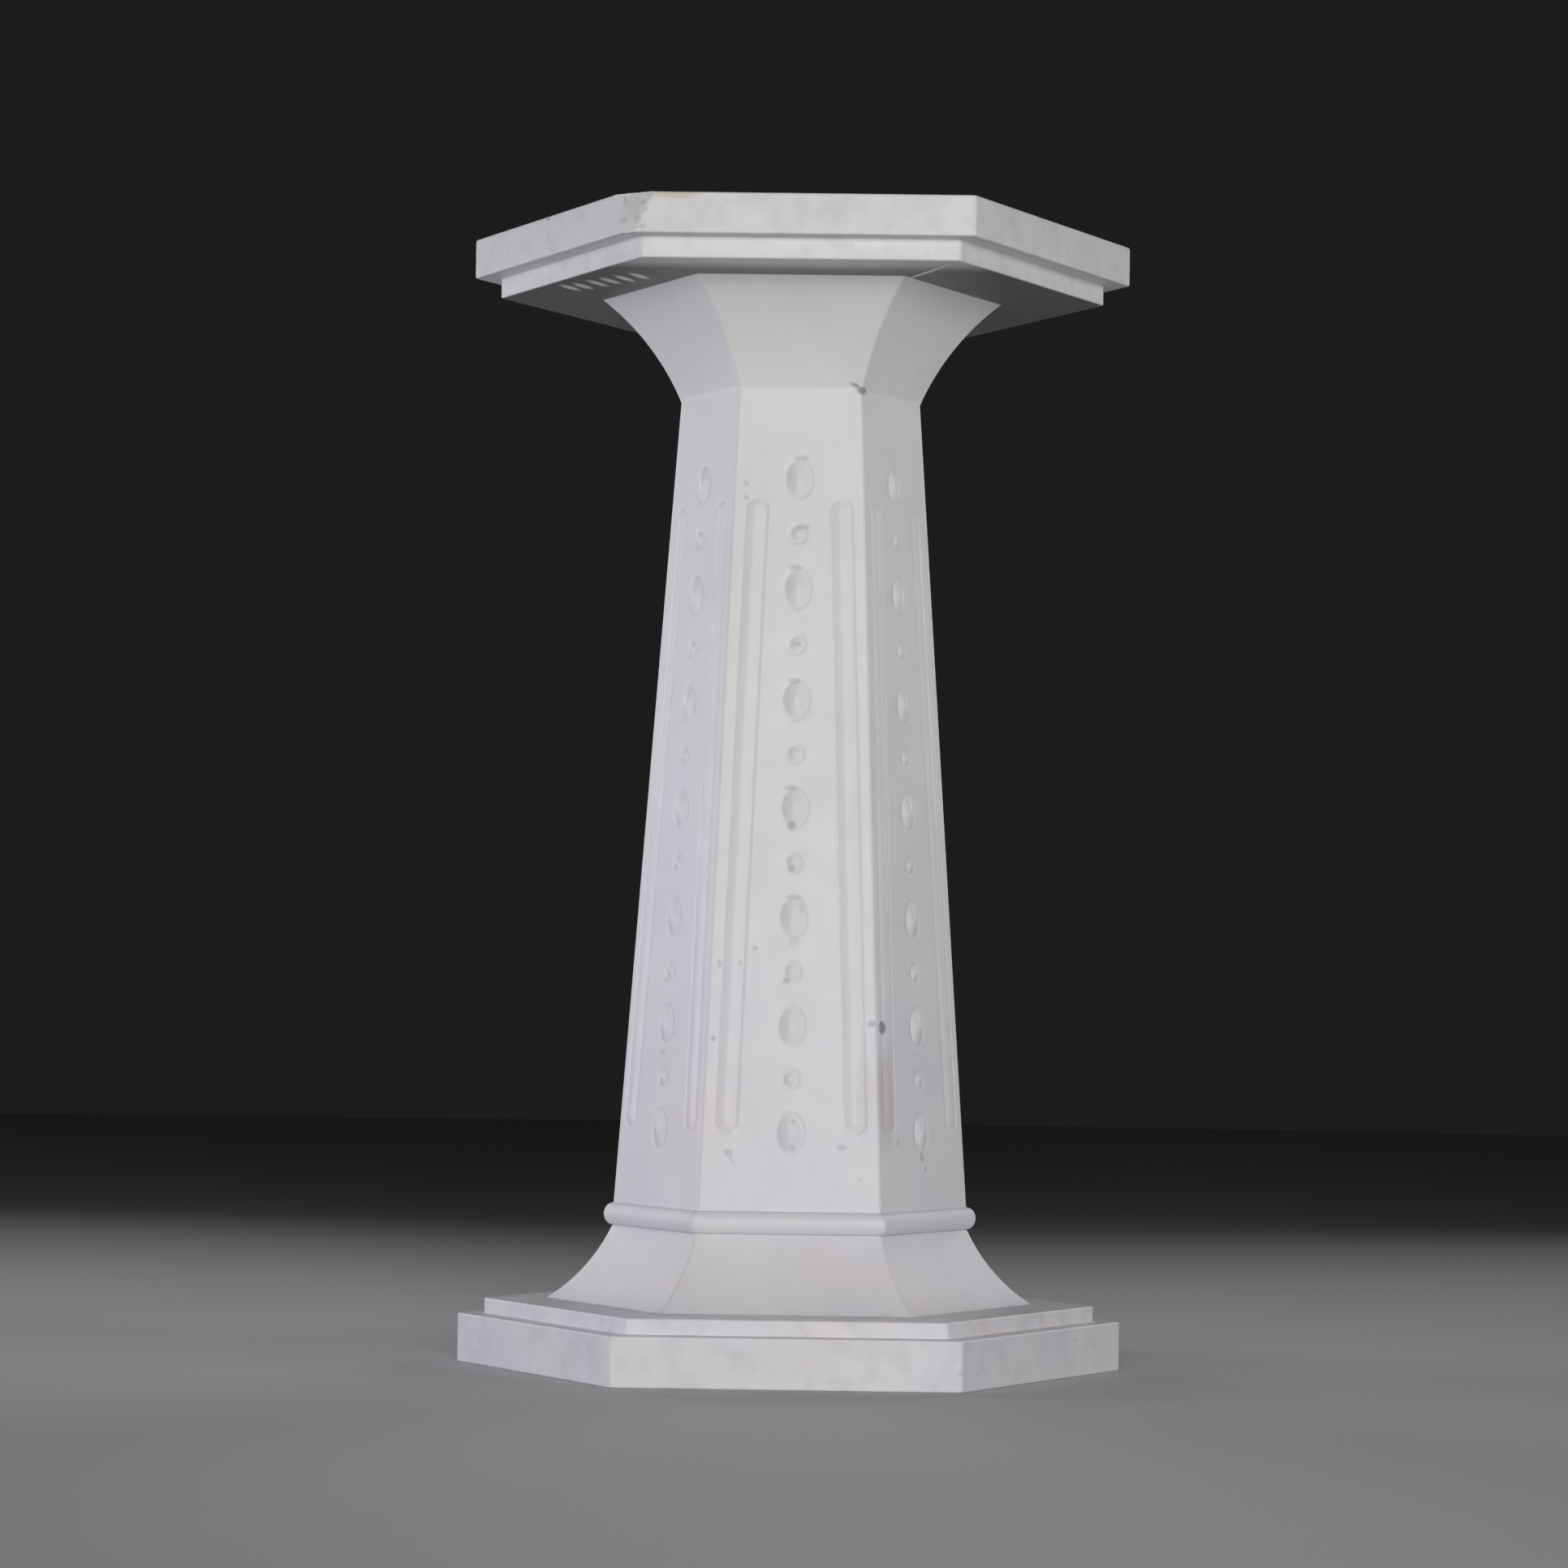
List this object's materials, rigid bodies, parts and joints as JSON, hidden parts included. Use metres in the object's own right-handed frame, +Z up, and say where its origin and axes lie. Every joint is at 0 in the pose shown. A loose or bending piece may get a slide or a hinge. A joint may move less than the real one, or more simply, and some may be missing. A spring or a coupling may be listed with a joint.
{
  "type": "carved stone column pedestal",
  "caption": "Hexagonal marble column pedestal: flared plinth, bead moulding, tapering shaft with reeded flutes and bead strings, hollow cove and flat table.",
  "frame": {"origin": "middle of the plinth's underside, on the floor that the pedestal stands on", "axes": "+Z up along the column; two corners of the six-sided plan lie on the X axis and one face looks towards -Y"},
  "size_m": [0.44, 0.381, 0.75],
  "materials": {
    "marble": "white marble, hand carved and rubbed, matt, greyed and slightly stained with age"
  },
  "bodies": {
    "root": {"carved_pedestal": "marble"}
  },
  "joints": []
}
